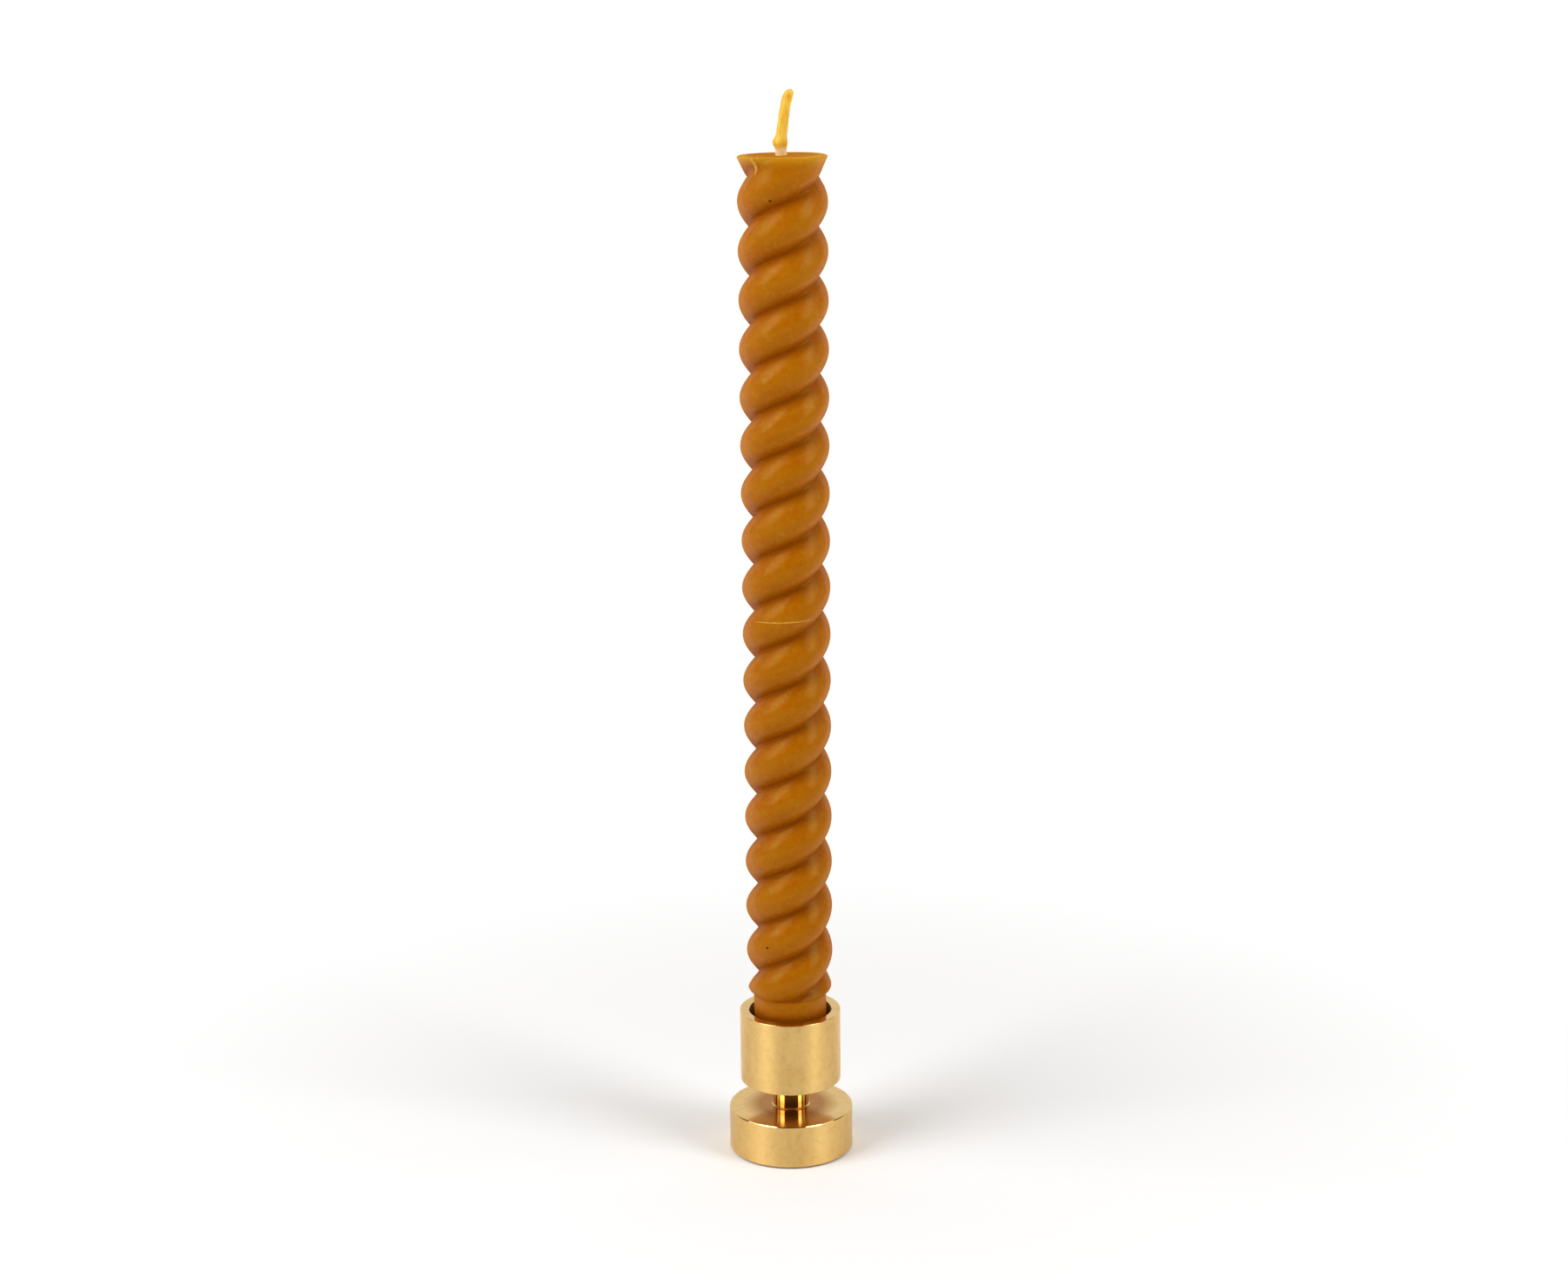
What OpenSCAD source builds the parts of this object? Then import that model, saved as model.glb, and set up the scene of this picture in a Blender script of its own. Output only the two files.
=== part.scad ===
// Turned brass candlestick with a twisted taper candle.
// A base disc, a short neck and a cup are clamped on one axis by a screw from below.
// The candle stands loose in the cup and lifts straight out.
// Millimetres, +Z up, the origin on the table under the middle of the base.

/* [Base] */
// Diameter of the base disc
base_d = 35; // [32:0.5:50]
// Height of the base disc
base_h = 12.2; // [11.5:0.1:16]
// How far the felt pad stands below the brass
pad_proud = 0.4; // [0.2:0.1:1]

/* [Neck] */
// Diameter of the neck
neck_d = 10.2; // [9:0.1:14]
// Height of the neck that shows between the base and the cup
neck_gap = 8.05; // [6:0.05:9]

/* [Cup] */
// Outer diameter of the cup
cup_d = 28.4; // [27.5:0.1:32]
// Height of the cup
cup_h = 20.8; // [16:0.1:26]
// Diameter of the socket that takes the candle
socket_d = 23.2; // [22:0.1:24.5]
// Thickness of the cup's floor
cup_floor = 6; // [5.5:0.1:7]

/* [Candle] */
// Length of the candle's wax, without the wick
candle_l = 253.4; // [180:0.1:300]
// Diameter of the plain plug at the candle's foot
plug_d = 20.4; // [19:0.1:21]
// Length of the plug
plug_l = 19.6; // [17:0.1:24]
// Diameter over the twisted strands
strand_d = 24.12; // [22.5:0.01:27]
// Diameter at the bottom of the grooves
groove_d = 17.5; // [15:0.01:19]
// Height of one full turn of the twist
twist_lead = 26.08; // [20:0.01:40]
// Depth of the first groove below the top, on the +X side
first_groove = 5.7; // [0:0.1:13]

/* [Wick] */
// Diameter of the cotton core
wick_d = 1.9; // [1.5:0.1:2.2]
// Diameter over the wax coat of the free end
coat_d = 2.9; // [2.6:0.1:3.6]
// Height of the free end above the candle
stub_h = 16.9; // [12:0.1:20]
// Sideways lean of the tip
stub_lean = 2.2; // [0:0.1:4]

/* [Hidden] */
$fn = 96;

// heights of the stack, from the table up
base_z = pad_proud;
base_top = base_z + base_h;
cup_z = base_top + neck_gap;
cup_top = cup_z + cup_h;
socket_z = cup_z + cup_floor;
seat_gap = 0.05;
candle_z = socket_z + seat_gap;
candle_top = candle_z + candle_l;
shoulder_z = candle_z + plug_l;

// small edges and seats of the turned pieces
edge = 0.3;
rim_edge = 0.2;
seat_depth = 0.6;
seat_r = neck_d / 2 + 0.05;
collar = 0.35;
socket_corner = 1;

// felt pad and the shallow recess that holds it
pad_r = base_d / 2 - 2;
pad_hole_r = 6;
pad_t = 1.2;
pad_fit = 0.1;

// M5 cap screw with its spring washer, and the holes that it needs
screw_r = 2.5;
screw_hole_r = 2.75;
thread_pitch = 0.8;
thread_depth = 0.45;
thread_l = 10;
tapped_l = 4.3;
head_r = 4.25;
head_h = 5;
head_edge = 0.4;
head_bore_r = 4.9;
head_bore_h = 7.4;
hex_key = 4;
hex_depth = 2.5;
washer_r = 4.2;
washer_hole_r = 2.65;
washer_t = 1.2;
washer_slit = 0.8;
washer_slant = 20;
washer_z = base_z + head_bore_h - washer_t;
head_z = washer_z - head_h;
screw_l = floor(cup_z + seat_depth + tapped_l - washer_z - 0.5);

// candle: points round a section, turn between rings and rounded ends
section_points = 28;
ring_turn = 22.5;
ring_step = twist_lead * ring_turn / 360;
top_round = 1;
shoulder_round = 3.5;
ledge_round = 1.5;
foot_edge = 0.5;
fill_from = 9.5;
fill_to = 1.5;
fill_r = strand_d / 2 - 0.76;
groove_z = candle_top - first_groove;

// wick: sides, clearance in the wax, and the bead of wax low on its free end
wick_sides = 20;
wick_rings = 16;
wick_fit = 0.02;
lean_power = 2.7;
coat_over_tip = 1;
bead_h = 3.2;
bead_spread = 1.3;
bead_grow = 0.62;
bead_side = 0.3;

brass = [0.82, 0.66, 0.38];
steel = [0.62, 0.62, 0.64];
felt = [0.16, 0.13, 0.11];
beeswax = [0.72, 0.43, 0.09];
cotton = [0.9, 0.86, 0.72];
pale_wax = [0.94, 0.76, 0.25];

// a solid skinned over a stack of rings, each a list of the same number of points
module skin(rings) {
    n = len(rings[0]);
    m = len(rings);
    points = [for (ring = rings) for (p = ring) p];
    side = [for (i = [0 : m - 2]) for (j = [0 : n - 1])
        let (k = (j + 1) % n)
        each [[i * n + j, (i + 1) * n + j, (i + 1) * n + k], [i * n + j, (i + 1) * n + k, i * n + k]]];
    foot = [for (j = [0 : n - 1]) j];
    head = [for (j = [n - 1 : -1 : 0]) (m - 1) * n + j];
    polyhedron(points, concat([foot], side, [head]), convexity = 10);
}

// quarter round: 0 at t = 0, rising steeply, and level at 1 from t = 1 on
function quarter(t) = t <= 0 ? 0 : t >= 1 ? 1 : sqrt(1 - pow(1 - t, 2));

// a hump of height 1 at h = 0 that fades over a distance s
function hump(h, s) = exp(-pow(h / s, 2));

// plain disc with a chamfered edge, a counterbore below and a seat for the neck on top
module base_disc() {
    r = base_d / 2;
    color(brass) rotate_extrude() polygon([
        [screw_hole_r, base_z + head_bore_h],
        [head_bore_r, base_z + head_bore_h],
        [head_bore_r, pad_t],
        [pad_r + pad_fit, pad_t],
        [pad_r + pad_fit, base_z],
        [r - edge, base_z],
        [r, base_z + edge],
        [r, base_top - edge],
        [r - edge, base_top],
        [seat_r, base_top],
        [seat_r, base_top - seat_depth],
        [screw_hole_r, base_top - seat_depth]]);
}

// sleeve between the base and the cup, held in a shallow seat at each end,
// with a small sloping collar that covers the seam on the base
module neck_spacer() {
    r = neck_d / 2;
    color(brass) rotate_extrude() polygon([
        [screw_hole_r, base_top - seat_depth],
        [r, base_top - seat_depth],
        [r, base_top],
        [r + collar, base_top],
        [r, base_top + collar],
        [r, cup_z + seat_depth],
        [screw_hole_r, cup_z + seat_depth]]);
}

// cup with a flat-floored socket, and a blind tapped hole from below
module candle_cup() {
    r = cup_d / 2;
    s = socket_d / 2;
    corner = [for (a = [0 : 15 : 90])
        [s - socket_corner + socket_corner * sin(a), socket_z + socket_corner - socket_corner * cos(a)]];
    color(brass) rotate_extrude() polygon(concat([
        [0, cup_z + seat_depth + tapped_l],
        [screw_r, cup_z + seat_depth + tapped_l],
        [screw_r, cup_z + seat_depth],
        [seat_r, cup_z + seat_depth],
        [seat_r, cup_z],
        [r - edge, cup_z],
        [r, cup_z + edge],
        [r, cup_top - rim_edge],
        [r - rim_edge, cup_top],
        [s + rim_edge, cup_top],
        [s, cup_top - rim_edge]],
        [for (i = [len(corner) - 1 : -1 : 0]) corner[i]],
        [[0, socket_z]]));
}

// cap screw, head down, with its thread drawn as rings of the right pitch
module clamp_screw() {
    tip = head_z + head_h + screw_l;
    thread_z = tip - thread_l;
    turns = floor(thread_l / thread_pitch) - 1;
    thread = [for (i = [0 : turns - 1]) let (z = thread_z + i * thread_pitch) each [
        [screw_r, z],
        [screw_r - thread_depth, z + thread_pitch * 0.45],
        [screw_r, z + thread_pitch * 0.9]]];
    color(steel) difference() {
        rotate_extrude() polygon(concat([
            [0, head_z],
            [head_r - head_edge, head_z],
            [head_r, head_z + head_edge],
            [head_r, head_z + head_h],
            [screw_r, head_z + head_h]],
            thread,
            [[screw_r, tip - thread_depth], [screw_r - thread_depth, tip], [0, tip]]));
        translate([0, 0, head_z - 1]) cylinder(d = hex_key / cos(30), h = hex_depth + 1, $fn = 6);
    }
}

// spring washer: a flat ring with one slanted slit
module lock_washer() {
    color(steel) translate([0, 0, washer_z]) difference() {
        cylinder(r = washer_r, h = washer_t);
        translate([0, 0, -1]) cylinder(r = washer_hole_r, h = washer_t + 2);
        translate([washer_r, 0, washer_t / 2]) rotate([washer_slant, 0, 0])
            cube([2 * washer_r, washer_slit, 3 * washer_t], center = true);
    }
}

// felt ring in the recess under the base, with a hole for the hexagon key
module felt_pad() {
    color(felt) difference() {
        cylinder(r = pad_r, h = pad_t);
        translate([0, 0, -1]) cylinder(r = pad_hole_r, h = pad_t + 2);
    }
}

// smooth step from 0 at t = 0 to 1 at t = 1
function ease(t) = let (c = max(0, min(1, t))) c * c * (3 - 2 * c);

// radius at the bottom of the grooves, which fill with wax just below the top
function groove_r(z) = groove_d / 2
    + (fill_r - groove_d / 2) * ease((z - candle_top + fill_from) / (fill_from - fill_to));

// section of the two strands: a parabola over each, meeting in sharp grooves
function strand_r(j, z) = let (u = 2 * j / section_points, v = u - floor(u))
    groove_r(z) + (strand_d / 2 - groove_r(z)) * (1 - pow(2 * v - 1, 2));

// the strands are rounded off at the top and run out above the plug
function strand_limit(z) = min(
    strand_d / 2 - top_round * (1 - quarter((candle_top - z) / top_round)),
    groove_d / 2 + (strand_d - groove_d) / 2 * quarter((z - shoulder_z) / shoulder_round));

// the plug's own radius: chamfered at its foot and rounded into the grooves above
function plug_r(z) = z <= shoulder_z
    ? plug_d / 2 - max(0, foot_edge - (z - candle_z))
    : plug_d / 2 - (plug_d - groove_d) * (1 - quarter(1 - (z - shoulder_z) / ledge_round));

// one ring of the candle; the section turns with height, and stays still along the plug
function candle_ring(z) = let (turn = 360 * (max(z, shoulder_z) - groove_z) / twist_lead)
    [for (j = [0 : section_points - 1]) let (
        a = turn + 360 * j / section_points,
        r = max(min(strand_r(j, z), strand_limit(z)), plug_r(z)))
        [r * cos(a), r * sin(a), z]];

// twisted candle on its plain plug, with a hole for the wick right through
module candle_wax() {
    plug_levels = [candle_z, candle_z + foot_edge, shoulder_z];
    shoulder_levels = [for (i = [1 : 5]) shoulder_z + shoulder_round * pow(i / 5, 2)];
    twist_from = shoulder_z + shoulder_round + ring_step;
    twist_to = candle_top - top_round;
    steps = ceil((twist_to - twist_from) / ring_step);
    twist_levels = [for (i = [0 : steps]) twist_from + (twist_to - twist_from) * i / steps];
    top_levels = [for (i = [1 : 3]) candle_top - top_round * (1 - sin(30 * i))];
    levels = concat(plug_levels, shoulder_levels, twist_levels, top_levels);
    color(beeswax) difference() {
        skin([for (z = levels) candle_ring(z)]);
        translate([0, 0, candle_z - 1]) cylinder(r = wick_d / 2 + wick_fit, h = candle_l + 2);
    }
}

// sideways place of the wick at a height h above the candle
function lean(h) = stub_lean * pow(max(h, 0) / stub_h, lean_power);

// one level ring of the wick or its coat, of radius r, moved sideways by x
function wick_ring(r, x, z) = [for (j = [0 : wick_sides - 1])
    let (a = 360 * j / wick_sides)
    [x + r * cos(a), r * sin(a), z]];

// cotton core from the candle's foot up to just under the tip of its coat
module wick() {
    core_h = stub_h - coat_over_tip;
    free = [for (i = [0 : wick_rings]) core_h * i / wick_rings];
    color(cotton) skin(concat(
        [wick_ring(wick_d / 2, 0, candle_z)],
        [for (h = free) wick_ring(wick_d / 2, lean(h), candle_top + h)]));
}

// wax coat of the free end, thicker at a bead near its foot and rounded at the tip
module wick_coat() {
    core_h = stub_h - coat_over_tip;
    round_h = coat_d / 2;
    inner_r = wick_d / 2 + wick_fit;
    outside = [for (i = [0 : wick_rings]) (stub_h - round_h) * i / wick_rings];
    tip = [for (a = [20 : 20 : 80]) [round_h * cos(a), stub_h - round_h + round_h * sin(a)]];
    inside = [for (i = [wick_rings : -1 : 0]) (core_h + wick_fit) * i / wick_rings];
    color(pale_wax) skin(concat(
        [for (h = inside) wick_ring(inner_r, lean(h), candle_top + h)],
        [for (h = outside) wick_ring(coat_d / 2 + bead_grow * hump(h - bead_h, bead_spread),
            lean(h) - bead_side * hump(h - bead_h, bead_spread), candle_top + h)],
        [for (p = tip) wick_ring(p[0], lean(p[1]), candle_top + p[1])]));
}

base_disc();
neck_spacer();
candle_cup();
clamp_screw();
lock_washer();
felt_pad();
candle_wax();
wick();
wick_coat();
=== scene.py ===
import bpy
import numpy as np
from mathutils import Matrix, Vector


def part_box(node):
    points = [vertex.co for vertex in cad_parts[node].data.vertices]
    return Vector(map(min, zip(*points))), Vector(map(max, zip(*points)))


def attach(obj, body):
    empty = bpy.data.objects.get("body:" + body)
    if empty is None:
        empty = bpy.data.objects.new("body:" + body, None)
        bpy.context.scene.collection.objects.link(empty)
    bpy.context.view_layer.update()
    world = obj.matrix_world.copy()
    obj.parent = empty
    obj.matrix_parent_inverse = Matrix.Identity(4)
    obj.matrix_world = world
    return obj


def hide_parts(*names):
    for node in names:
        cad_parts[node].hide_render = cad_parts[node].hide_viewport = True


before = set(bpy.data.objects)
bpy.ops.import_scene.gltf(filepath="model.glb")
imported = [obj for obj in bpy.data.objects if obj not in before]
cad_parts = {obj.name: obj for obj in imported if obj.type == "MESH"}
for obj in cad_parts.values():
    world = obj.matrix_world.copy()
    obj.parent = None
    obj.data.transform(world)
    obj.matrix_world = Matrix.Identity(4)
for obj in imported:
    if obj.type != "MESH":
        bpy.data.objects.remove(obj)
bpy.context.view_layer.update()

scene = bpy.context.scene
mm = 0.001
turnSteps = 240    # points round every turned piece
print("frame loaded:", sorted(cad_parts))


# 0 at t = 0, rising steeply along a quarter circle, level at 1 from t = 1
def quarter(t):
    return np.sqrt(1 - (1 - np.clip(t, 0, 1)) ** 2)


# 0 up to t = 0, 1 from t = 1 on, and t squared times (3 - 2 t) between them
def smoothStep(t):
    t = np.clip(t, 0, 1)
    return t * t * (3 - 2 * t)


# evenly spaced angles once round, without the repeated end
def roundAngles(count):
    return np.linspace(0, 2 * np.pi, count, endpoint=False)


# points at x = r cos a, y = r sin a, z = z
def roundPoints(r, a, z):
    return np.stack(np.broadcast_arrays(r * np.cos(a), r * np.sin(a), z), -1)


# rows of points become one closed skin: each row joins the next all the way round,
# and the two end rows close on a pole at their middle, or on each other when loop is set
def skinSurface(name, rows, loop=False):
    count, around = rows.shape[:2]
    points = rows.reshape(-1, 3)
    index = np.arange(count * around).reshape(count, around)
    lower = index if loop else index[:-1]
    upper = np.roll(index, -1, axis=0) if loop else index[1:]
    quads = np.stack([lower, np.roll(lower, -1, 1), np.roll(upper, -1, 1), upper], -1)
    faces = quads.reshape(-1, 4).tolist()
    if not loop:
        points = np.vstack([points, rows[0].mean(0), rows[-1].mean(0)])
        first, last = index[0], index[-1]
        foot, head = count * around, count * around + 1
        footFan = np.stack([np.roll(first, -1), first, np.full(around, foot)], -1)
        headFan = np.stack([last, np.roll(last, -1), np.full(around, head)], -1)
        faces += footFan.tolist() + headFan.tolist()
    mesh = bpy.data.meshes.new(name)
    mesh.from_pydata(points.tolist(), [], faces)
    mesh.shade_smooth()
    piece = bpy.data.objects.new(name, mesh)
    scene.collection.objects.link(piece)
    return piece


# one number per point, for a material to read by name; each pole takes the mean of its row
def writeAttribute(piece, name, rowValues):
    values = np.asarray(rowValues, float)
    flat = values.reshape(-1)
    if len(piece.data.vertices) > len(flat):
        flat = np.append(flat, [values[0].mean(), values[-1].mean()])
    layer = piece.data.attributes.new(name, "FLOAT", "POINT")
    layer.data.foreach_set("value", flat.astype(np.float32))


# an outline in radius and height, with each corner turned into an arc of its own radius:
# the arc touches both sides at radius / tan(half the corner's angle) from the corner,
# and a holding point just outside each end of the arc keeps the flats flat
def roundOutline(corners, closed, steps=5, hold=0.04):
    outline = []
    for k, (r, z, radius) in enumerate(corners):
        here = np.array([r, z])
        if radius == 0:
            outline.append(here)
            continue
        before = np.array(corners[k - 1][:2]) - here
        after = np.array(corners[(k + 1) % len(corners)][:2]) - here
        before, after = before / np.hypot(*before), after / np.hypot(*after)
        half = 0.5 * np.arccos(np.clip(before @ after, -1, 1))
        reach = radius / np.tan(half)
        middle = before + after
        centre = here + middle / np.hypot(*middle) * radius / np.sin(half)
        start, stop = here + before * reach - centre, here + after * reach - centre
        turn = np.pi - 2 * half
        t = np.linspace(0, 1, steps + 1)[:, None]
        arc = (np.sin((1 - t) * turn) * start + np.sin(t * turn) * stop) / np.sin(turn)
        outline.append(here + before * (reach + hold))
        outline.extend(centre + arc)
        outline.append(here + after * (reach + hold))
    return np.array(outline)


# a turned piece: the rounded outline carried once round the axis
def turnedPiece(name, corners, closed):
    outline = roundOutline(corners, closed)
    rows = roundPoints(outline[:, :1], roundAngles(turnSteps), outline[:, 1:])
    return skinSurface(name, rows * mm, loop=closed), outline


# fills a node's inputs: a socket is joined up, anything else is set on the node's own socket
def fillInputs(tree, node, inputs):
    for name, value in dict(inputs).items():
        if isinstance(value, bpy.types.NodeSocket):
            tree.links.new(value, node.inputs[name])
        else:
            node.inputs[name].default_value = value


# a node with its options set and its inputs filled
def addNode(tree, kind, options=(), inputs=()):
    made = tree.nodes.new(kind)
    for name, value in dict(options).items():
        setattr(made, name, value)
    fillInputs(tree, made, inputs)
    return made


# an empty material, its node tree and its main shader
def newMaterial(name):
    material = bpy.data.materials.new(name)
    material.use_nodes = True
    tree = material.node_tree
    shader = next(n for n in tree.nodes if n.type == "BSDF_PRINCIPLED")
    return material, tree, shader


# object coordinates in millimetres: metres times 1000
def millimetres(tree):
    place = addNode(tree, "ShaderNodeTexCoord")
    scaled = addNode(tree, "ShaderNodeVectorMath", {"operation": "SCALE"},
                     {0: place.outputs["Object"], "Scale": 1 / mm})
    return scaled.outputs["Vector"]


# (radius, height, 0) in millimetres, plus the flat place times a small stretch:
# rings on a face and lines round a side have this one formula
def turningCoordinates(tree, stretch):
    parts = addNode(tree, "ShaderNodeSeparateXYZ", (), {0: millimetres(tree)})
    flat = addNode(tree, "ShaderNodeCombineXYZ", (), {"X": parts.outputs["X"], "Y": parts.outputs["Y"]})
    radius = addNode(tree, "ShaderNodeVectorMath", {"operation": "LENGTH"}, {0: flat.outputs[0]})
    around = addNode(tree, "ShaderNodeVectorMath", {"operation": "SCALE"},
                     {0: flat.outputs[0], "Scale": stretch})
    line = addNode(tree, "ShaderNodeCombineXYZ", (),
                   {"X": radius.outputs["Value"], "Y": parts.outputs["Z"]})
    both = addNode(tree, "ShaderNodeVectorMath", {"operation": "ADD"},
                   {0: line.outputs[0], 1: around.outputs[0]})
    return both.outputs["Vector"]


# a cloudy pattern from 0 to 1, given as (waves per millimetre, octaves, roughness)
def noise(tree, vector, pattern):
    scale, detail, rough = pattern
    made = addNode(tree, "ShaderNodeTexNoise", (),
                   {"Vector": vector, "Scale": scale, "Detail": detail, "Roughness": rough})
    return made.outputs["Fac"]


# a straight line, level beyond both ends, given as (low, high, result at low, result at high)
def remap(tree, value, line):
    low, high, atLow, atHigh = line
    made = addNode(tree, "ShaderNodeMapRange", {"clamp": True},
                   {"Value": value, "From Min": low, "From Max": high, "To Min": atLow, "To Max": atHigh})
    return made.outputs["Result"]


# the operation's result for a and b
def maths(tree, operation, a, b):
    return addNode(tree, "ShaderNodeMath", {"operation": operation}, {0: a, 1: b}).outputs[0]


# colours laid over the first in turn: under + factor * (over - under) for each (factor, over)
def layered(tree, colour, *layers):
    for factor, over in layers:
        made = addNode(tree, "ShaderNodeMix", {"data_type": "RGBA"}, {0: factor, 6: colour, 7: over})
        colour = made.outputs[2]
    return colour


# a normal tilted by the slope of the height, given as (strength, depth in millimetres)
def bump(tree, height, relief):
    strength, depth = relief
    made = addNode(tree, "ShaderNodeBump", (),
                   {"Height": height, "Strength": strength, "Distance": depth * mm})
    return made.outputs["Normal"]


# the number that each point of the piece carries under this name
def readAttribute(tree, name):
    return addNode(tree, "ShaderNodeAttribute", {"attribute_name": name}).outputs["Fac"]


# patterns are (waves per millimetre, octaves, roughness) and shades are lines, in every look below
brassLook = {
    "colour": (0.84, 0.56, 0.205, 1),
    "worn": (0.81, 0.525, 0.18, 1),
    "tarnishAndShade": (0.45, 0.24, 0.05, 1),
    # painted shade: the dark brown laid by the second attribute round the neck on the base's top, under the
    # cup and inside its socket
    "paintedShadeBrown": (0.43, 0.17, 0.012, 1),
    "lines": (9.0, 4.0, 0.7),
    "lineStretch": 0.02,
    "cloud": (0.16, 3.0, 0.6),
    "smudge": (0.45, 4.0, 0.65),
    "spots": (1.3, 2.0, 0.5),
    "cloudShade": (0.35, 0.65, 0, 1),
    "smudgeShade": (0.48, 0.72, 0, 0.2),
    "spotShade": (0.66, 0.76, 0, 0.4),
    "satinRough": (0.3, 0.7, 0.31, 0.41),
    "smudgeRough": (0.35, 0.7, 0, 0.09),
    "mirrorRough": (0.3, 0.7, 0.045, 0.08),
    "lineRelief": (0.10, 0.02),
}


# satin where the polish attribute is 0 and mirror where it is 1, with fine lines from turning;
# the second attribute lays a dark brown of painted shade: a painted reflection of the cup's dark underside
# round the neck on the base's top, painted shade under and inside the cup, and a darker base underside
def brassMaterial(name, look, anisotropy):
    material, tree, shader = newMaterial(name)
    place = millimetres(tree)
    lines = noise(tree, turningCoordinates(tree, look["lineStretch"]), look["lines"])
    smudge = noise(tree, place, look["smudge"])
    agedAndShaded = layered(
        tree, look["colour"],
        (remap(tree, noise(tree, place, look["cloud"]), look["cloudShade"]), look["worn"]),
        (remap(tree, smudge, look["smudgeShade"]), look["tarnishAndShade"]),
        (remap(tree, noise(tree, place, look["spots"]), look["spotShade"]), look["tarnishAndShade"]),
        # painted shade in dark brown, where the attribute read here is high
        (readAttribute(tree, "tarnishAndShade"), look["paintedShadeBrown"]))
    satin = maths(tree, "ADD", remap(tree, lines, look["satinRough"]),
                  remap(tree, smudge, look["smudgeRough"]))
    mirror = remap(tree, lines, look["mirrorRough"])
    rough = addNode(tree, "ShaderNodeMix", {"data_type": "FLOAT"},
                    {0: readAttribute(tree, "polish"), 2: satin, 3: mirror})
    tangent = addNode(tree, "ShaderNodeTangent", {"direction_type": "RADIAL", "axis": "Z"})
    fillInputs(tree, shader, {
        "Base Color": agedAndShaded,
        "Metallic": 1.0,
        "Roughness": rough.outputs[0],
        "Anisotropic": anisotropy,
        "Anisotropic Rotation": 0.25,    # a quarter turn, so that highlights run across the turning lines
        "Tangent": tangent.outputs[0],
        "Normal": bump(tree, lines, look["lineRelief"]),
    })
    return material


# the polish and the darkening of each outline point, mostly painted shade, the same all the way round the
# piece
def writeFinish(piece, outline, polish, tarnishAndShade):
    for name, values in (("polish", polish), ("tarnishAndShade", tarnishAndShade)):
        column = np.broadcast_to(values, len(outline))[:, None]
        writeAttribute(piece, name, np.repeat(column, turnSteps, 1))


satinBrass = brassMaterial("satinBrass", brassLook, 0.8)
polishedBrass = brassMaterial("polishedBrass", brassLook, 0.3)
print("brass materials made")


baseLow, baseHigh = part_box("base_disc")
padLow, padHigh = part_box("felt_pad")
baseDisc = {
    "radius": baseHigh.x / mm,
    "bottom": baseLow.z / mm,
    "top": baseHigh.z / mm,
    "edge": 0.25,
    "topPolish": 0.75,
    "shadeRingOuter": 13.8,    # the ring of painted shade round the neck fades out here
    "shadeRingInner": 9.0,
    "underDarkening": 0.6,
    "padRadius": padHigh.x / mm + 0.1,    # the recess is a little wider than the felt
    "padTop": padHigh.z / mm,
    "headBore": 4.9,
    "headBoreTop": 7.8,
    "screwHole": 2.75,
    "seatRadius": 5.15,
    "seatDepth": 0.6,
}


# turned from an outline of (radius, height, corner radius): counterbore, felt recess, side, top and seat;
# the painted shade on top, standing for the cup's dark underside reflected there, rises smoothly from 0 at
# the ring's outer radius to 1 at its inner radius
def makeBase(s):
    corners = [
        (s["screwHole"], s["headBoreTop"], 0.1),
        (s["headBore"], s["headBoreTop"], 0.1),
        (s["headBore"], s["padTop"], 0.15),
        (s["padRadius"], s["padTop"], 0.1),
        (s["padRadius"], s["bottom"], 0.1),
        (s["radius"] - s["edge"], s["bottom"], 0.05),
        (s["radius"], s["bottom"] + s["edge"], 0.05),
        (s["radius"], s["top"] - s["edge"], 0.05),
        (s["radius"] - s["edge"], s["top"], 0.05),
        (s["shadeRingOuter"], s["top"], 0),
        (s["shadeRingInner"], s["top"], 0),
        (s["seatRadius"], s["top"], 0.04),
        (s["seatRadius"], s["top"] - s["seatDepth"], 0.05),
        (s["screwHole"], s["top"] - s["seatDepth"], 0.1),
    ]
    piece, outline = turnedPiece("baseDisc", corners, closed=True)
    r, z = outline.T
    onEdge = z > s["top"] - s["edge"] - 0.01
    onTop = z > s["top"] - 0.02
    under = z < s["bottom"] + 0.02
    polish = np.where(onTop, s["topPolish"], np.where(onEdge, 1.0, 0.0))
    # painted shade in a ring round the neck on the top; the underside is darker as well
    shadeRing = smoothStep((s["shadeRingOuter"] - r) / (s["shadeRingOuter"] - s["shadeRingInner"]))
    tarnishAndShade = np.where(under, s["underDarkening"], np.where(onTop, shadeRing, 0.0))
    writeFinish(piece, outline, polish, tarnishAndShade)
    piece.data.materials.append(satinBrass)
    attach(piece, "holder")
    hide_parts("base_disc")


makeBase(baseDisc)
print("base disc made")


neckLow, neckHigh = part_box("neck_spacer")
neckSleeve = {
    "radius": 5.1,
    "bottom": neckLow.z / mm,
    "top": neckHigh.z / mm,
    "seam": baseHigh.z / mm,
    "collar": 0.35,
    "bore": 2.75,
    "edge": 0.1,
}


# turned from its outline: a straight sleeve with a collar that slopes out onto the base
def makeNeck(s):
    corners = [
        (s["bore"], s["bottom"], s["edge"]),
        (s["radius"], s["bottom"], s["edge"]),
        (s["radius"], s["seam"], 0),
        (s["radius"] + s["collar"], s["seam"], 0.03),
        (s["radius"] + 0.05, s["seam"] + s["collar"] - 0.05, 0.06),
        (s["radius"], s["seam"] + s["collar"] + 0.1, 0.3),
        (s["radius"], s["top"], s["edge"]),
        (s["bore"], s["top"], s["edge"]),
    ]
    piece, outline = turnedPiece("neckSleeve", corners, closed=True)
    writeFinish(piece, outline, 1.0, 0.0)
    piece.data.materials.append(polishedBrass)
    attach(piece, "holder")
    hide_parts("neck_spacer")


makeNeck(neckSleeve)
print("neck made")


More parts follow.
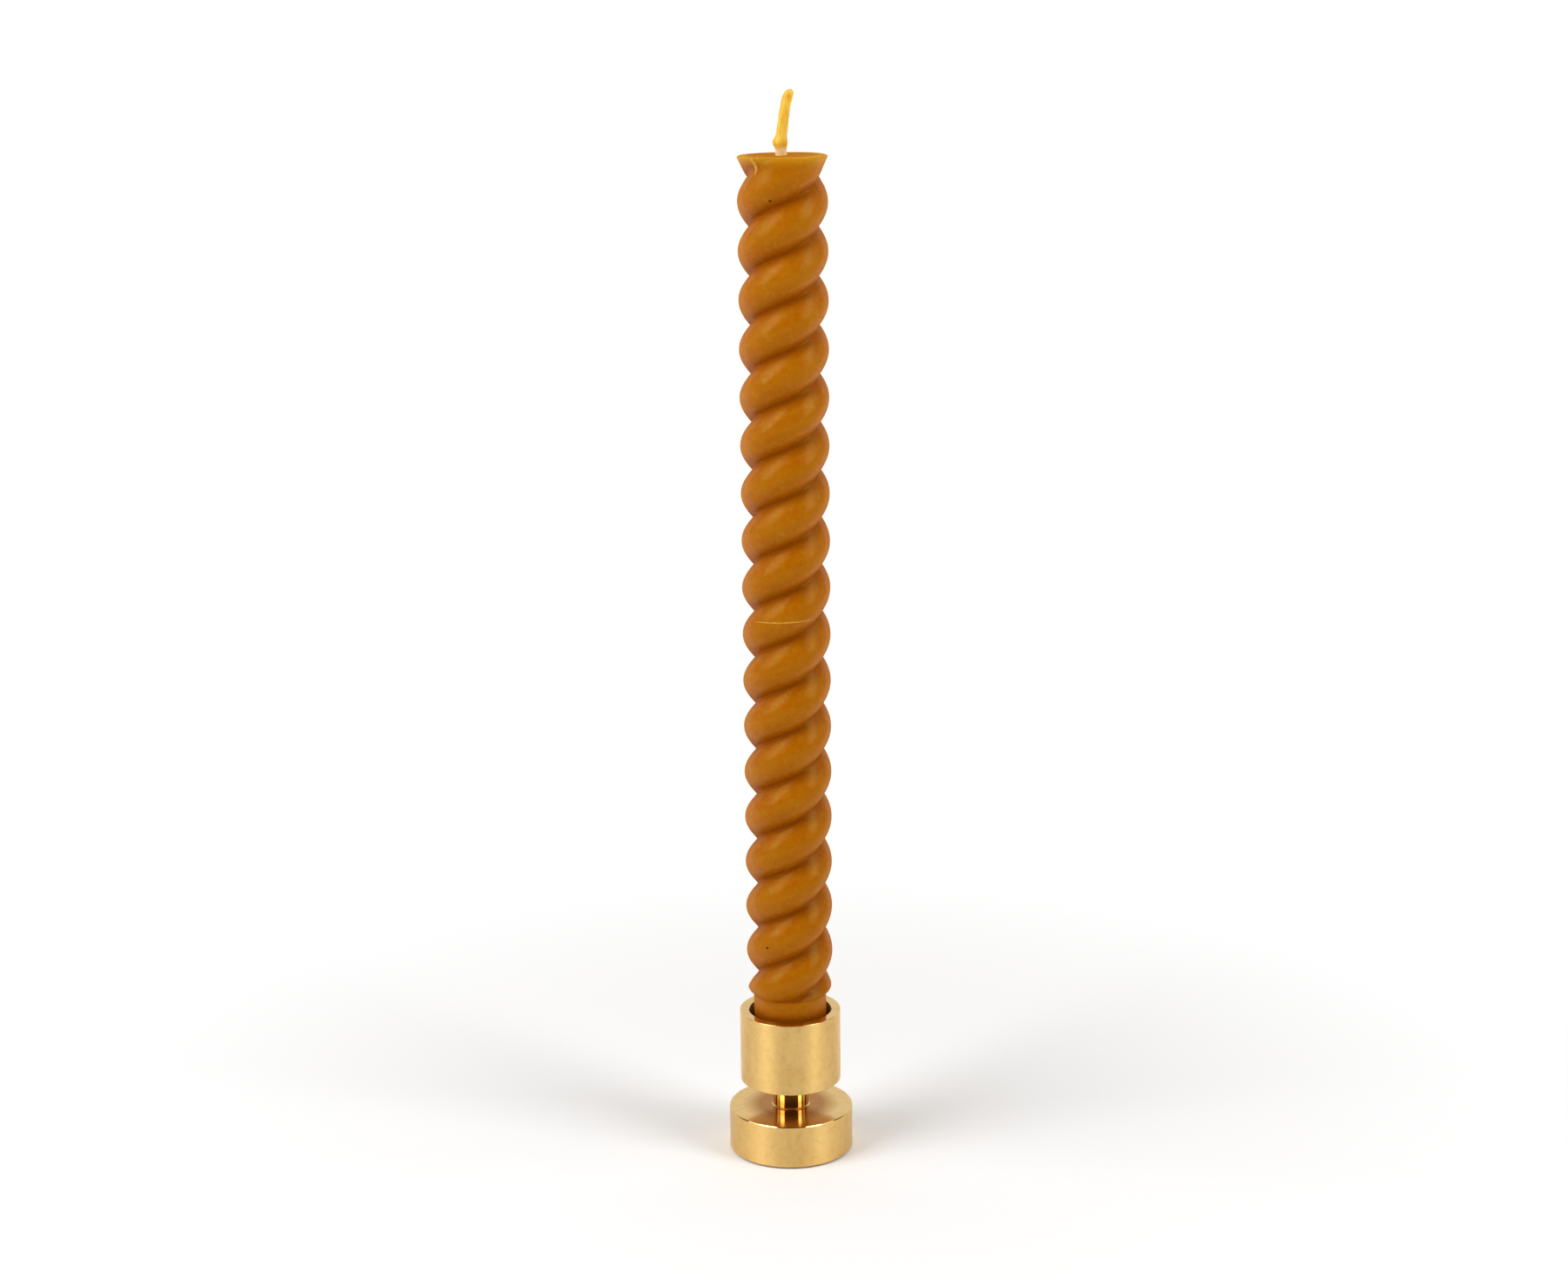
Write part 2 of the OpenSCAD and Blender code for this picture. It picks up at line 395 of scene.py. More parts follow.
cupLow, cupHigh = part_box("candle_cup")
candleCup = {
    "radius": cupHigh.x / mm,
    "bottom": cupLow.z / mm,
    "top": cupHigh.z / mm,
    "socketRadius": 11.6,
    "floor": 26.65,
    "corner": 1.0,
    "edge": 0.32,
    "rimEdge": 0.2,
    "seatRadius": 5.15,
    "seatDepth": 0.6,
    "tappedRadius": 2.5,
    "tappedTop": 25.55,
    "poleRadius": 0.05,
    "rimPolish": 0.9,
    "bevelPolish": 0.6,
    "underPolish": 0.1,
    "underDarkening": 0.7,
    "insideShade": 0.2,
}


# turned from its outline: tapped hole, seat, underside, side, flat rim and socket, pole to pole
def makeCup(s):
    corners = [
        (s["poleRadius"], s["tappedTop"], 0),
        (s["tappedRadius"], s["tappedTop"], 0.2),
        (s["tappedRadius"], s["bottom"] + s["seatDepth"], 0.1),
        (s["seatRadius"], s["bottom"] + s["seatDepth"], 0.05),
        (s["seatRadius"], s["bottom"], 0.1),
        (s["radius"], s["bottom"], s["edge"]),
        (s["radius"], s["top"], s["rimEdge"]),
        (s["socketRadius"] + s["rimEdge"], s["top"], 0.04),
        (s["socketRadius"], s["top"] - s["rimEdge"], 0.04),
        (s["socketRadius"], s["floor"], s["corner"]),
        (s["poleRadius"], s["floor"], 0),
    ]
    piece, outline = turnedPiece("candleCup", corners, closed=False)
    r, z = outline.T
    rim = z > s["top"] - s["rimEdge"] - 0.01
    bevel = (z < s["bottom"] + s["edge"] + 0.01) & (r > s["radius"] - s["edge"] - 0.01)
    inside = (r < s["socketRadius"] + 0.01) & (z > s["floor"] - 0.1) & ~rim
    under = (z < s["bottom"] + s["seatDepth"] + 0.1) & (r < s["radius"] - s["edge"]) & ~bevel
    polish = np.select([rim, bevel, under], [s["rimPolish"], s["bevelPolish"], s["underPolish"]], 0.0)
    # painted shade under the cup and, fainter, inside its socket
    tarnishAndShade = np.select([under, inside], [s["underDarkening"], s["insideShade"]], 0.0)
    writeFinish(piece, outline, polish, tarnishAndShade)
    piece.data.materials.append(satinBrass)
    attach(piece, "holder")
    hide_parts("candle_cup")


makeCup(candleCup)
print("cup made")


waxLow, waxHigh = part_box("candle_wax")
candle = {
    "bottom": waxLow.z / mm + 0.02,    # a hair above the seat, to leave room for unevenness
    "top": waxHigh.z / mm,
    "strand": 12.06,
    "groove": 8.75,
    "lead": 26.08,
    "grooveHeight": waxHigh.z / mm - 5.7,
    "grooveSoftness": 0.035,
    "fillStart": 7.8,
    "fillEnd": 1.5,
    "fillRadius": 11.3,
    "waist": 0.85,
    "waistFrom": 0.6,
    "waistHeight": 5.8,
    "shoulder": 46.3,
    "shoulderRound": 3.5,
    "ledgeRound": 1.5,
    "plug": 10.2,
    "footRound": 0.6,
    "topRound": 0.8,
    "topDip": 0.22,
    "dipTurn": 0.9,
    "around": 144,
    "step": 0.45,
    "unevenness": 0.07,
    # painted glow: how far down from the top edge it reaches, and what share of the top's radius it lights
    "thinEdge": 4.0,
    "rimGlow": 0.25,
    # painted shade on the plug: its light by the cup's rim and higher up, where it starts to rise and over
    # what height
    "plugShade": 0.02,
    "plugUpperLight": 0.7,
    "shadeFrom": 40.5,
    "shadeOver": 5.5,
    "seed": 7,
}


# slow unevenness: a sum of waves cos(k a + 2 pi z / period + phase) with seeded sizes
def slowWaves(a, z, seed):
    chance = np.random.default_rng(seed)
    total = 0
    for k in range(1, 5):
        for period in (9.0, 23.0, 61.0):
            phase, size = chance.uniform(0, 2 * np.pi), chance.uniform(0.3, 1)
            total = total + size * np.cos(k * a + 2 * np.pi * z / period + phase)
    return total / 6


# radius over a strand: w runs 0 at a groove to 1 on the crest, radius = groove + depth * w (2 - w)
# the grooves fill up towards the top, where the wax was poured
def strandRadius(s, share, z):
    w = 1 - np.abs(2 * share - 1)
    soft = np.sqrt(w ** 2 + s["grooveSoftness"] ** 2) - s["grooveSoftness"] * (1 - w)
    filled = smoothStep((z - s["top"] + s["fillStart"]) / (s["fillStart"] - s["fillEnd"]))
    groove = s["groove"] + filled * (s["fillRadius"] - s["groove"])
    return groove + (s["strand"] - groove) * soft * (2 - soft)


# angle and radius of the candle's skin: the section turns once for each lead of height,
# and a waist of waist * sin(pi * depth) * cos^2(angle) draws its two sides in under the poured top
def candleSkin(s, column, z):
    turn = 2 * np.pi * (np.maximum(z, s["shoulder"]) - s["grooveHeight"]) / s["lead"]
    angle = turn + 2 * np.pi * column
    rise = quarter((z - s["shoulder"]) / s["shoulderRound"])
    limit = np.minimum(s["strand"] - s["topRound"] * (1 - quarter((s["top"] - z) / s["topRound"])),
                       s["groove"] + (s["strand"] - s["groove"]) * rise)
    fall = 1 - quarter(1 - (z - s["shoulder"]) / s["ledgeRound"])
    ledge = s["plug"] - 2 * (s["plug"] - s["groove"]) * fall
    foot = s["footRound"] * (1 - quarter((z - s["bottom"]) / s["footRound"]))
    plug = np.where(z <= s["shoulder"], s["plug"] - foot, ledge)
    strands = strandRadius(s, np.mod(2 * column, 1), z)
    radius = np.maximum(np.minimum(strands, limit), plug)
    depth = np.clip((s["top"] - s["waistFrom"] - z) / s["waistHeight"], 0, 1)
    waist = s["waist"] * np.sin(np.pi * depth) * np.cos(angle) ** 2
    return angle, radius - waist + s["unevenness"] * slowWaves(angle, z, s["seed"])


# the skin at levels from the foot to the top, with each end's last outline shrunk to the axis;
# the poured top dips by topDip (1 + cos(angle - dipTurn)) / 2, and its edge follows
def makeCandle(s):
    column = np.linspace(0, 1, s["around"], endpoint=False)[None, :]
    foot = s["bottom"] + s["footRound"] * (1 - np.cos(np.linspace(0, np.pi / 2, 6)))
    plug = np.linspace(foot[-1], s["shoulder"], 24)[1:]
    steps = int((s["top"] - s["topRound"] - s["shoulder"]) / s["step"])
    twist = np.linspace(s["shoulder"], s["top"] - s["topRound"], steps)[1:]
    head = s["top"] - s["topRound"] * (1 - np.sin(np.linspace(0, np.pi / 2, 7)))[1:]
    z = np.concatenate([foot, plug, twist, head])[:, None]
    angle, radius = candleSkin(s, column, z)
    wall = roundPoints(radius, angle, z)
    shrink = np.linspace(1, 0.04, 25)[1:, None, None]
    topRows = wall[-1][None] * shrink
    dip = s["topDip"] * (1 + np.cos(angle[-1] - s["dipTurn"])) / 2
    topRows[..., 2] = s["top"] - s["topDip"] + dip
    wall[-7:, :, 2] += np.linspace(0, 1, 7)[:, None] * (dip - s["topDip"])
    footRows = wall[0][None] * shrink[::-1]
    footRows[..., 2] = s["bottom"]
    piece = skinSurface("candleWax", np.vstack([footRows, wall, topRows]) * mm)
    writeWaxAttributes(s, piece, column, z, shrink[..., 0])
    return piece


# the painted light is 0 in the grooves and 1 on the strands, for painted shade and painted highlight, and on
# the plug it paints shade that deepens down towards the cup's rim; the painted glow rises as the square of a
# smooth step up to the top edge; poured is 1 on the top alone
def writeWaxAttributes(s, piece, column, z, shrink):
    level = np.ones((len(z), s["around"]))
    ends = np.ones((len(shrink), s["around"]))
    strand = 1 - np.abs(2 * np.mod(2 * column, 1) - 1)
    paintedLight = strand * quarter((z - s["shoulder"]) / s["shoulderRound"])
    gained = smoothStep((z - s["shadeFrom"]) / s["shadeOver"])
    plugLight = s["plugShade"] + (s["plugUpperLight"] - s["plugShade"]) * gained
    paintedLight = np.where(z <= s["shoulder"], plugLight, paintedLight) * level
    writeAttribute(piece, "paintedLight", np.vstack([ends * s["plugShade"], paintedLight, ends]))
    thinGlow = smoothStep((z - s["top"] + s["thinEdge"]) / s["thinEdge"]) ** 2 * level
    rimOnly = smoothStep((shrink - 1 + s["rimGlow"]) / s["rimGlow"]) * ends
    writeAttribute(piece, "thinGlow", np.vstack([0 * ends, thinGlow, rimOnly]))
    writeAttribute(piece, "poured", np.vstack([0 * ends, 0 * level, ends]))


waxLook = {
    "colour": (0.39, 0.099, 0.0003, 1),
    "pale": (0.45, 0.165, 0.003, 1),
    "bloom": (0.49, 0.22, 0.020, 1),
    "deep": (0.25, 0.050, 0.0002, 1),
    # painted glow: the lighter colour of the thin top edge
    "thinGlow": (0.62, 0.30, 0.010, 1),
    "pit": (0.12, 0.035, 0.0005, 1),
    "cloud": (0.12, 4.0, 0.6),
    "mottle": (0.75, 5.0, 0.7),
    "haze": (0.35, 5.0, 0.75),
    "grain": (4.0, 3.0, 0.6),
    "pits": (1.7, 1.0, 0.4),
    "cloudShade": (0.35, 0.65, 0, 0.35),
    "mottleShade": (0.4, 0.65, 0, 0.5),
    # painted highlight on the crests, and painted shade in the grooves and on the plug
    "crestHighlight": (0.55, 1.0, 0, 0.35),
    "hazeShade": (0.55, 0.72, 0, 0.45),
    "grooveShadow": (0.0, 0.45, 0.8, 0.0),
    "grainShade": (0.52, 0.72, 0, 0.3),
    "pitShade": (0.77, 0.8, 0, 0.6),
    "thinGlowLine": (0, 1, 0, 0.7),
    "rough": (0.3, 0.7, 0.18, 0.30),
    "pouredRough": (0, 1, 0, 0.5),
    "glancingRough": (0.35, 0.8, 0, 0.6),
    "glancingBlend": 0.35,
    "mottleShare": 0.7,
    "relief": (0.4, 0.14),
    "specular": 0.18,
    "specularTint": (1.0, 0.98, 0.25, 1),
    "index": 1.44,
    "scatter": 0.5,
    "scatterRadius": (0.4, 0.7, 0.15),
    "scatterDepth": 1.3,
}


# beeswax: a painted highlight makes the crests paler, painted shade deepens the grooves and the plug down by
# the cup's rim, and a painted glow lightens the thin top edge; the roughness is the mottling's, plus the
# poured top's, plus more at glancing angles
def waxMaterial(look):
    material, tree, shader = newMaterial("beeswax")
    place = millimetres(tree)
    cloud = noise(tree, place, look["cloud"])
    mottle = noise(tree, place, look["mottle"])
    haze = noise(tree, place, look["haze"])
    grain = noise(tree, place, look["grain"])
    pits = noise(tree, place, look["pits"])
    paintedLight = readAttribute(tree, "paintedLight")
    colour = layered(
        tree, look["colour"],
        (remap(tree, cloud, look["cloudShade"]), look["pale"]),
        (remap(tree, mottle, look["mottleShade"]), look["pale"]),
        # painted highlight: paler on the crests
        (remap(tree, paintedLight, look["crestHighlight"]), look["pale"]),
        (remap(tree, haze, look["hazeShade"]), look["bloom"]),
        # painted shade: deeper in the grooves and on the plug down by the cup's rim
        (remap(tree, paintedLight, look["grooveShadow"]), look["deep"]),
        (remap(tree, grain, look["grainShade"]), look["deep"]),
        (remap(tree, pits, look["pitShade"]), look["pit"]),
        # painted glow: lighter where the top edge is thin
        (remap(tree, readAttribute(tree, "thinGlow"), look["thinGlowLine"]), look["thinGlow"]))
    glancing = addNode(tree, "ShaderNodeLayerWeight", (), {"Blend": look["glancingBlend"]}).outputs["Facing"]
    dulled = maths(tree, "ADD", remap(tree, readAttribute(tree, "poured"), look["pouredRough"]),
                   remap(tree, glancing, look["glancingRough"]))
    height = maths(tree, "ADD", maths(tree, "MULTIPLY", mottle, look["mottleShare"]),
                   maths(tree, "MULTIPLY", grain, 1 - look["mottleShare"]))
    fillInputs(tree, shader, {
        "Base Color": colour,
        "Roughness": maths(tree, "ADD", remap(tree, mottle, look["rough"]), dulled),
        "IOR": look["index"],
        "Specular IOR Level": look["specular"],
        "Specular Tint": look["specularTint"],
        "Subsurface Weight": look["scatter"],
        "Subsurface Radius": look["scatterRadius"],
        "Subsurface Scale": look["scatterDepth"] * mm,
        "Normal": bump(tree, height, look["relief"]),
    })
    return material


candleWax = makeCandle(candle)
candleWax.data.materials.append(waxMaterial(waxLook))
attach(candleWax, "candle")
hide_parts("candle_wax")
print("candle made:", len(candleWax.data.polygons), "faces")


wickEnd = {
    "height": 16.9,
    "lean": 2.2,
    "leanPower": 2.7,
    "radius": 1.5,
    "taper": 0.15,
    "sunk": 0.3,
    "beadHeight": 3.3,
    "beadSpread": 1.4,
    "beadGrow": 0.5,
    "beadSide": 0.3,
    "footSide": 0.3,
    "footSpread": 6.0,
    "lumps": 0.045,
}


# a leaning round cord: the centre line moves sideways as lean * (h / height) ^ power,
# the radius swells as a bell curve round the bead, and soft lumps run along it,
# as cos(2 a + 0.9 h) cos(0.8 h + 1) + 0.6 cos(3 a - 0.7 h)
def makeWickEnd(s):
    straight = np.linspace(-s["sunk"], s["height"] - s["radius"], 110)
    tipAngle = np.linspace(0, np.pi / 2, 9)[1:-1]
    h = np.append(straight, s["height"] - s["radius"] * (1 - np.sin(tipAngle)))
    shrink = np.append(np.ones(len(straight)), np.cos(tipAngle))
    bead = np.exp(-((h - s["beadHeight"]) / s["beadSpread"]) ** 2)
    centre = s["lean"] * (np.clip(h, 0, None) / s["height"]) ** s["leanPower"]
    centre = centre - s["footSide"] * np.exp(-(h / s["footSpread"]) ** 2) - s["beadSide"] * bead
    radius = ((s["radius"] - s["taper"] * h / s["height"]) * shrink + s["beadGrow"] * bead)[:, None]
    a = roundAngles(48)[None, :]
    h = h[:, None]
    lumps = np.cos(2 * a + 0.9 * h) * np.cos(0.8 * h + 1) + 0.6 * np.cos(3 * a - 0.7 * h)
    rows = roundPoints(radius * (1 + s["lumps"] * lumps), a, candle["top"] + h)
    rows[..., 0] += centre[:, None]
    return skinSurface("wickEnd", rows * mm)


paleWaxLook = {
    "colour": (0.78, 0.40, 0.018, 1),
    "pale": (0.85, 0.58, 0.070, 1),
    "fibre": (0.62, 0.27, 0.010, 1),
    "bare": (0.92, 0.72, 0.42, 1),
    "stretch": 0.3,
    "streaks": (0.9, 4.0, 0.6),
    "fibres": (4.0, 3.0, 0.6),
    "streakShade": (0.35, 0.65, 0, 1),
    "fibreShade": (0.5, 0.75, 0, 0.4),
    "bareShade": (candle["top"] + 2.4, candle["top"] + 1.2, 0, 0.75),
    "rough": (0.3, 0.7, 0.3, 0.45),
    "relief": (0.3, 0.08),
    "specularTint": (1.0, 0.95, 0.5, 1),
    "scatter": 0.5,
    "scatterRadius": (1.0, 0.6, 0.15),
    "scatterDepth": 0.8,
}


# pale wax soaked into cotton: streaks drawn out by shrinking the height, whiter at the wick's foot
def paleWaxMaterial(look):
    material, tree, shader = newMaterial("paleWax")
    parts = addNode(tree, "ShaderNodeSeparateXYZ", (), {0: millimetres(tree)})
    drawn = addNode(tree, "ShaderNodeCombineXYZ", (), {
        "X": parts.outputs["X"],
        "Y": parts.outputs["Y"],
        "Z": maths(tree, "MULTIPLY", parts.outputs["Z"], look["stretch"]),
    })
    streaks = noise(tree, drawn.outputs[0], look["streaks"])
    fibres = noise(tree, drawn.outputs[0], look["fibres"])
    colour = layered(
        tree, look["colour"],
        (remap(tree, streaks, look["streakShade"]), look["pale"]),
        (remap(tree, fibres, look["fibreShade"]), look["fibre"]),
        (remap(tree, parts.outputs["Z"], look["bareShade"]), look["bare"]))
    fillInputs(tree, shader, {
        "Base Color": colour,
        "Roughness": remap(tree, streaks, look["rough"]),
        "Specular Tint": look["specularTint"],
        "Subsurface Weight": look["scatter"],
        "Subsurface Radius": look["scatterRadius"],
        "Subsurface Scale": look["scatterDepth"] * mm,
        "Normal": bump(tree, fibres, look["relief"]),
    })
    return material


wickPiece = makeWickEnd(wickEnd)
wickPiece.data.materials.append(paleWaxMaterial(paleWaxLook))
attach(wickPiece, "candle")
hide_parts("wick_coat")
print("wick end made")


# points of the candle's skin nearest to the given x at each height, on the near side
def skinPoints(x, z):
    angle, radius = candleSkin(candle, np.linspace(0, 1, 1440)[None, :], z[:, None])
    skin = roundPoints(radius, angle, z[:, None])
    farSide = 99 * (skin[..., 1] > 0)
    best = np.argmin(np.abs(skin[..., 0] - x[:, None]) + farSide, axis=1)
    return skin[np.arange(len(z)), best]


# vectors divided by their own lengths
def unit(vectors):
    return vectors / np.linalg.norm(vectors, axis=-1, keepdims=True)


# a half-sunk thread along a curve through the path's (x, z) points: an ellipse of width by proud,
# carried along it and thinned by the root of sin(pi t) towards both ends
def makeThread(name, path, width, proud):
    knots = np.linspace(0, 1, len(path))
    t = np.linspace(0, 1, 60)
    x, z = (np.polyval(np.polyfit(knots, values, len(path) - 1), t) for values in np.transpose(path))
    line = skinPoints(x, z)
    along = unit(np.gradient(line, axis=0))
    out = unit(line * (1, 1, 0))
    side = unit(np.cross(out, along))
    a = roundAngles(12)[None, :, None]
    taper = (0.25 + 0.75 * np.sqrt(np.sin(np.pi * (0.02 + 0.96 * t))))[:, None, None]
    ring = width / 2 * np.cos(a) * side[:, None] + proud * np.sin(a) * out[:, None]
    return skinSurface(name, (line[:, None] + taper * ring) * mm)


# flattened crumbs: one ball of rings, scaled and set on the skin at every (x, z)
def makeCrumbs(name, spots, sizes):
    middles = skinPoints(*np.transpose(spots))
    rise = np.linspace(-np.pi / 2, np.pi / 2, 9)[1:-1][:, None]
    ball = roundPoints(np.cos(rise), roundAngles(14), np.sin(rise)) * (1, 0.6, 0.8)
    crumbs = enumerate(zip(middles, sizes))
    return [skinSurface(name + str(k), (middle + ball * size) * mm) for k, (middle, size) in crumbs]


waxMarks = {
    "drip": [(-8.0, 280.0), (-7.5, 279.0), (-6.7, 277.4), (-7.2, 275.6)],
    "dripWidth": 1.0,
    "dripProud": 0.42,
    "scar": [(-8.2, 155.9), (-4.2, 156.2), (1.0, 156.4), (7.4, 156.5)],
    "scarWidth": 0.42,
    "scarProud": 0.04,
    "crumbs": [(-9.1, 162.8), (-5.7, 58.5), (7.1, 60.5), (-6.3, 199.3), (-3.3, 223.7), (8.9, 161.9)],
    "crumbSizes": [0.3, 0.22, 0.24, 0.2, 0.2, 0.18],
    "specks": [(-6.2, 63.2), (-3.3, 268.8)],
    "speckSizes": [0.38, 0.36],
}

markWaxLook = {
    "colour": (0.50, 0.22, 0.010, 1),
    "other": (0.62, 0.33, 0.035, 1),
    "pattern": (1.2, 3.0, 0.6),
    "shade": (0.35, 0.65, 0, 1),
    "rough": (0.3, 0.7, 0.4, 0.55),
    "specular": 0.2,
    "relief": (0.3, 0.08),
}

darkWaxLook = {
    "colour": (0.02, 0.006, 0.0003, 1),
    "other": (0.06, 0.018, 0.0005, 1),
    "pattern": (5.0, 3.0, 0.6),
    "shade": (0, 1, 0, 1),
    "rough": (0.3, 0.7, 0.5, 0.7),
    "specular": 0.1,
    "relief": (0.4, 0.05),
}


# wax of two colours mixed by one noise, which also sets its roughness and relief
def mottledWax(name, look):
    material, tree, shader = newMaterial(name)
    mottle = noise(tree, millimetres(tree), look["pattern"])
    fillInputs(tree, shader, {
        "Base Color": layered(tree, look["colour"], (remap(tree, mottle, look["shade"]), look["other"])),
        "Roughness": remap(tree, mottle, look["rough"]),
        "Specular IOR Level": look["specular"],
        "Normal": bump(tree, mottle, look["relief"]),
    })
    return material


markWax = mottledWax("markWax", markWaxLook)
marks = [
    makeThread("waxDrip", waxMarks["drip"], waxMarks["dripWidth"], waxMarks["dripProud"]),
    makeThread("waxScar", waxMarks["scar"], waxMarks["scarWidth"], waxMarks["scarProud"]),
    *makeCrumbs("waxCrumb", waxMarks["crumbs"], waxMarks["crumbSizes"]),
]
for mark in marks:
    mark.data.materials.append(markWax)
    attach(mark, "candle")

# specks of dark wax, where bubbles burst in the mould
darkWax = mottledWax("darkWax", darkWaxLook)
specks = makeCrumbs("waxSpeck", waxMarks["specks"], waxMarks["speckSizes"])
for speck in specks:
    speck.data.materials.append(darkWax)
    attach(speck, "candle")
print("wax marks made:", len(marks) + len(specks))


feltPad = {
    "inner": 6.0,
    "outer": padHigh.x / mm,
    "bottom": padLow.z / mm,
    "top": padHigh.z / mm,
    "edge": 0.3,
    "unevenness": 0.05,
    "seed": 21,
}


# a ring turned from its outline, with its walls drawn in by slow waves plus seeded wool fuzz
def makeFelt(s):
    corners = [
        (s["inner"], s["bottom"], s["edge"]),
        (s["outer"], s["bottom"], s["edge"]),
        (s["outer"], s["top"], s["edge"]),
        (s["inner"], s["top"], s["edge"]),
    ]
    outline = roundOutline(corners, closed=True, steps=4)
    a = roundAngles(turnSteps)
    r, z = outline[:, :1], outline[:, 1:]
    middle = (s["inner"] + s["outer"]) / 2
    fuzz = np.random.default_rng(s["seed"]).uniform(0, 1, (len(outline), len(a)))
    wave = s["unevenness"] * (slowWaves(a[None, :], z * 5, s["seed"]) / 2 + fuzz)
    r = r - np.sign(r - middle) * np.abs(wave)
    return skinSurface("feltPad", roundPoints(r, a, z) * mm, loop=True)


feltLook = {
    "dark": (0.020, 0.018, 0.016, 1),
    "light": (0.075, 0.068, 0.060, 1),
    "worn": (0.11, 0.10, 0.09, 1),
    "fibres": (3.5, 6.0, 0.75),
    "blotches": (0.5, 3.0, 0.6),
    "fibreShade": (0.35, 0.65, 0, 1),
    "blotchShade": (0.45, 0.7, 0, 0.5),
    "rough": (0.3, 0.7, 0.85, 1.0),
    "sheen": 0.35,
    "sheenRough": 0.6,
    "relief": (0.8, 0.15),
}


# pressed wool: fine fibres set the colour, the roughness and the relief, and blotches wear it
def feltMaterial(look):
    material, tree, shader = newMaterial("felt")
    place = millimetres(tree)
    fibres = noise(tree, place, look["fibres"])
    blotches = noise(tree, place, look["blotches"])
    colour = layered(
        tree, look["dark"],
        (remap(tree, fibres, look["fibreShade"]), look["light"]),
        (remap(tree, blotches, look["blotchShade"]), look["worn"]))
    fillInputs(tree, shader, {
        "Base Color": colour,
        "Roughness": remap(tree, fibres, look["rough"]),
        "Sheen Weight": look["sheen"],
        "Sheen Roughness": look["sheenRough"],
        "Normal": bump(tree, fibres, look["relief"]),
    })
    return material


steelLook = {
    "bright": (0.60, 0.60, 0.58, 1),
    "shadeRing": (0.48, 0.48, 0.47, 1),
    "cloud": (0.8, 4.0, 0.6),
    "scratches": (9.0, 3.0, 0.7),
    "cloudShade": (0.35, 0.65, 0, 1),
    "rough": (0.3, 0.7, 0.22, 0.38),
    "relief": (0.15, 0.02),
}


# zinc-plated steel: clouds set the colour, and fine scratches the roughness and the relief
def steelMaterial(look):
    material, tree, shader = newMaterial("platedSteel")
    place = millimetres(tree)
    cloud = noise(tree, place, look["cloud"])
    scratches = noise(tree, place, look["scratches"])
    fillInputs(tree, shader, {
        "Base Color": layered(tree, look["bright"], (remap(tree, cloud, look["cloudShade"]), look["shadeRing"])),
        "Metallic": 1.0,
        "Roughness": remap(tree, scratches, look["rough"]),
        "Normal": bump(tree, scratches, look["relief"]),
    })
    return material


cottonLook = {
    "shadow": (0.62, 0.55, 0.42, 1),
    "thread": (0.86, 0.80, 0.68, 1),
    "plaitScale": 0.6,
    "distortion": 1.5,
    "detail": 2.0,
    "threads": (5.0, 4.0, 0.7),
    "rough": (0.3, 0.7, 0.75, 0.95),
    "relief": (0.5, 0.1),
}


# plaited cotton: slanting waves mix the two colours and raise the plait
def cottonMaterial(look):
    material, tree, shader = newMaterial("wickCotton")
    place = millimetres(tree)
    plait = addNode(tree, "ShaderNodeTexWave", {"bands_direction": "DIAGONAL"}, {
        "Vector": place,
        "Scale": look["plaitScale"],
        "Distortion": look["distortion"],
        "Detail": look["detail"],
    }).outputs["Fac"]
    fillInputs(tree, shader, {
        "Base Color": layered(tree, look["shadow"], (plait, look["thread"])),
        "Roughness": remap(tree, noise(tree, place, look["threads"]), look["rough"]),
        "Normal": bump(tree, plait, look["relief"]),
    })
    return material


# gives a node that keeps its own mesh a new material in place of its old ones
def dressNode(name, material):
    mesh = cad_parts[name].data
    mesh.materials.clear()
    mesh.materials.append(material)


felt = makeFelt(feltPad)
felt.data.materials.append(feltMaterial(feltLook))
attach(felt, "holder")
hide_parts("felt_pad")
plated = steelMaterial(steelLook)
dressNode("clamp_screw", plated)
dressNode("lock_washer", plated)
dressNode("wick", cottonMaterial(cottonLook))
print("felt pad, screw, washer and wick finished")


stageLook = {
    "floorRings": (9.0, 3.0, 1.0, 0.3, 0.05),
    "floorDepth": 0.01,
    "floorColour": (0.9, 0.9, 0.9, 1),
    "floorRough": 0.9,
    "floorGlow": 0.02,
    "floorNear": 0.06,
    "floorFar": 0.28,
    "white": 1.02,
    "worldSweep": 0.85,
    "worldRoom": 0.09,
    "worldOverhead": 0.35,
    "sweepBehind": (0.15, 0.65),
    "sweepHeight": (1.0, 0.7),
    "overheadHeight": (0.93, 0.98),
    "roomColour": (1.0, 0.80, 0.5, 1),
    "lampColour": (0.98, 1.0, 1.04),
    "lightDistance": 1.2,
    "lightTarget": (0, 0, 0.1),
    "lamp": {"angle": 60.0, "elevation": 41.0, "height": 1.0, "left": (10.0, 0.60), "right": (7.7, 0.46)},
    "panel": {"angle": 91.0, "elevation": 38.0, "height": 1.1, "left": (1.6, 0.3), "right": (1.2, 0.3)},
}
whiteColour = (1, 1, 1, 1)


# a smooth step of the value between two limits, either way up
def fade(tree, value, start, end):
    made = addNode(tree, "ShaderNodeMapRange", {"interpolation_type": "SMOOTHSTEP"},
                   {"Value": value, "From Min": start, "From Max": end})
    return made.outputs["Result"]


